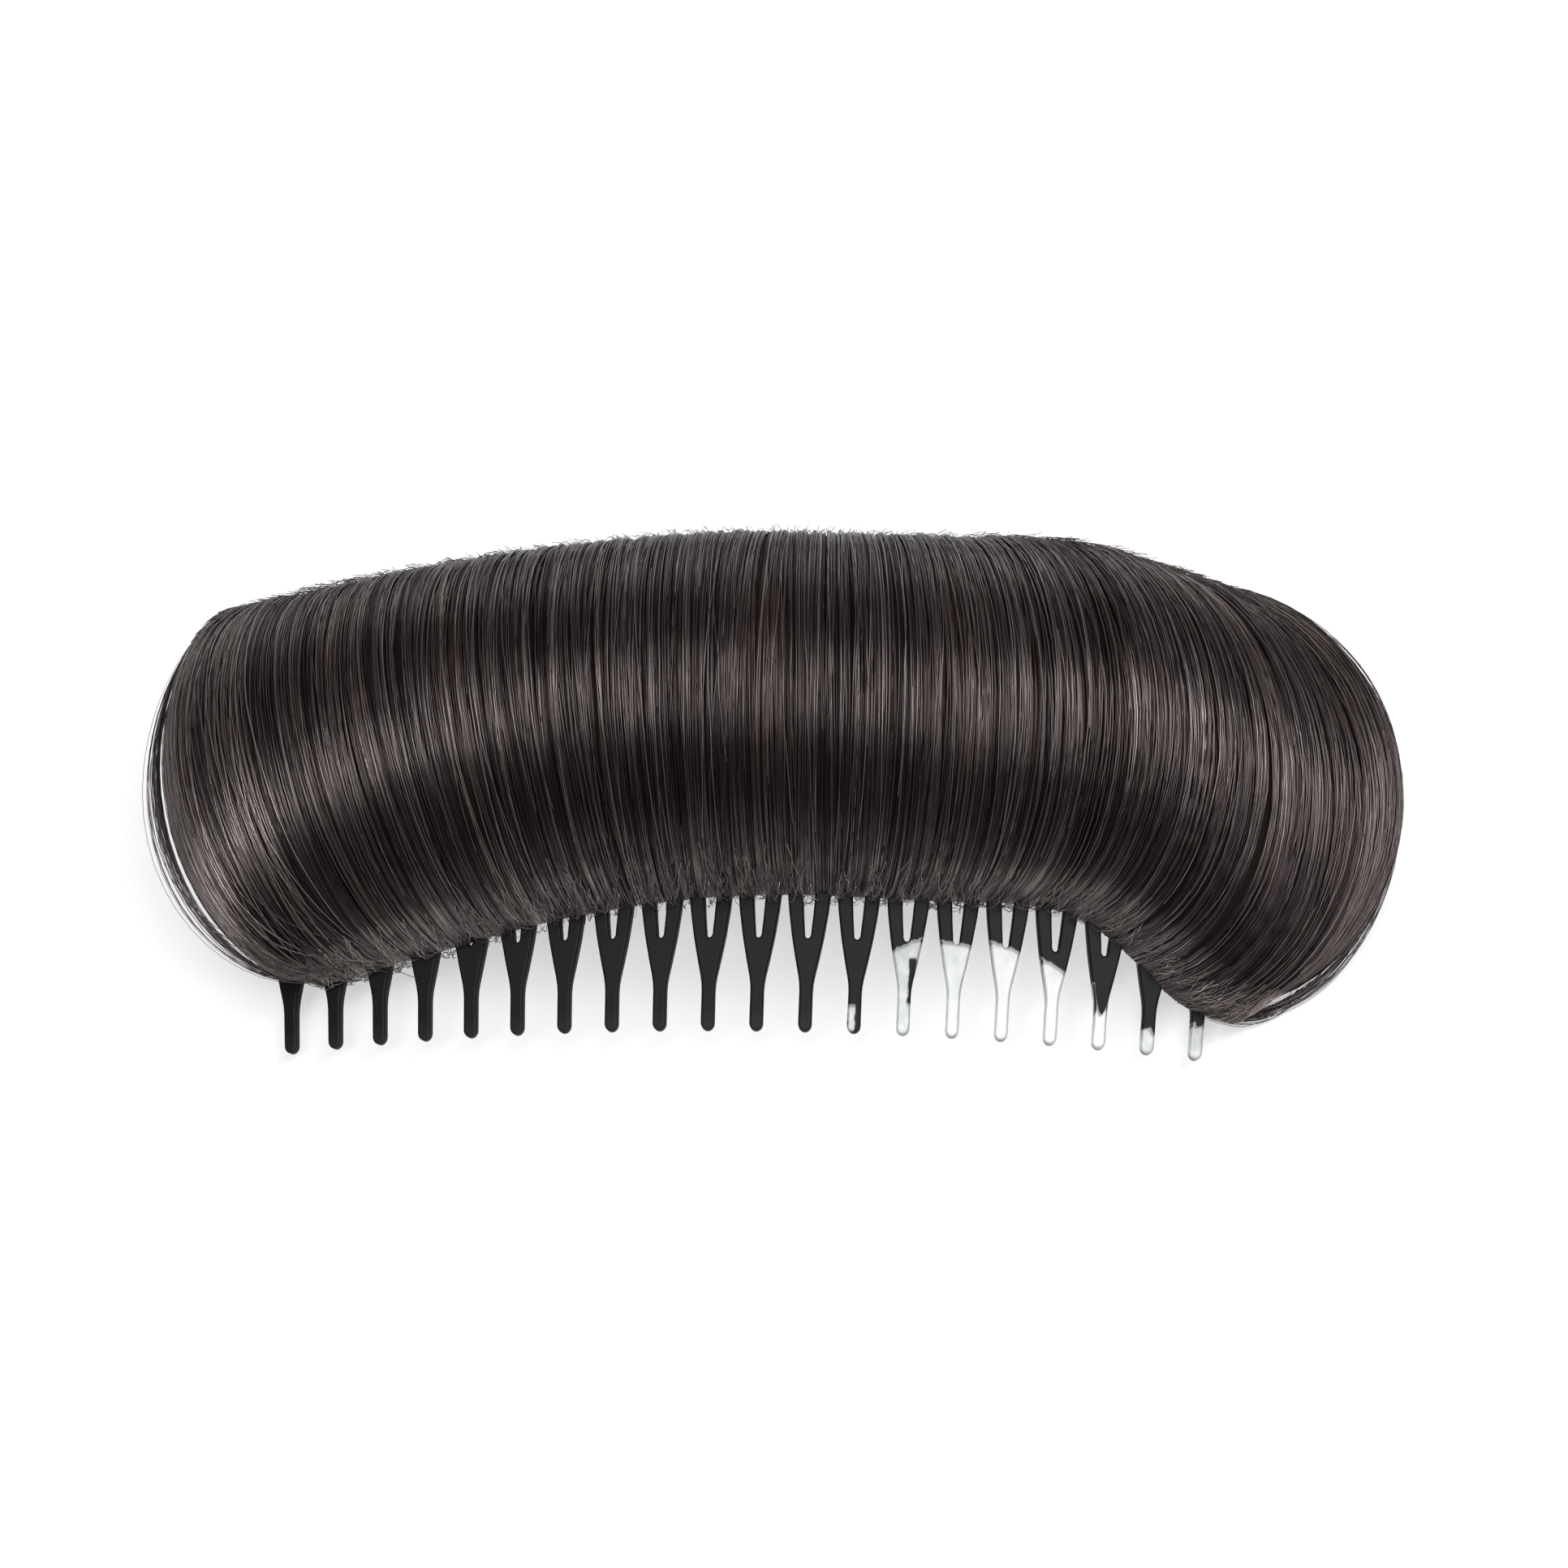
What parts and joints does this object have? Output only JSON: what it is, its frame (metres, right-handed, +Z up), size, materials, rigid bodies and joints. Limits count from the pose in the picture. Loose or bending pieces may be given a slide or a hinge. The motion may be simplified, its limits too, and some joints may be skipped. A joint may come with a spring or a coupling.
{
  "type": "volumizing hair insert",
  "caption": "Padded, gently arched roll wound with dark hair, with a slotted comb along its front that pushes into the wearer's own hair to lift the crown.",
  "frame": {"origin": "on the table under the middle of the part's box", "axes": "+X along the roll towards the end with the clear teeth, -Y the way the teeth point, +Z up from the table"},
  "size_m": [0.1503, 0.0595, 0.0413],
  "materials": {
    "wound_hair": "near-black brown strands with a silky sheen along one band",
    "soft_pad": "dark matted fibre",
    "comb_plastic": "black satin plastic, worn clear on the teeth at one end"
  },
  "bodies": {
    "root": {"hair_wrap": "wound_hair", "pad_core": "soft_pad", "comb": "comb_plastic"}
  },
  "joints": []
}
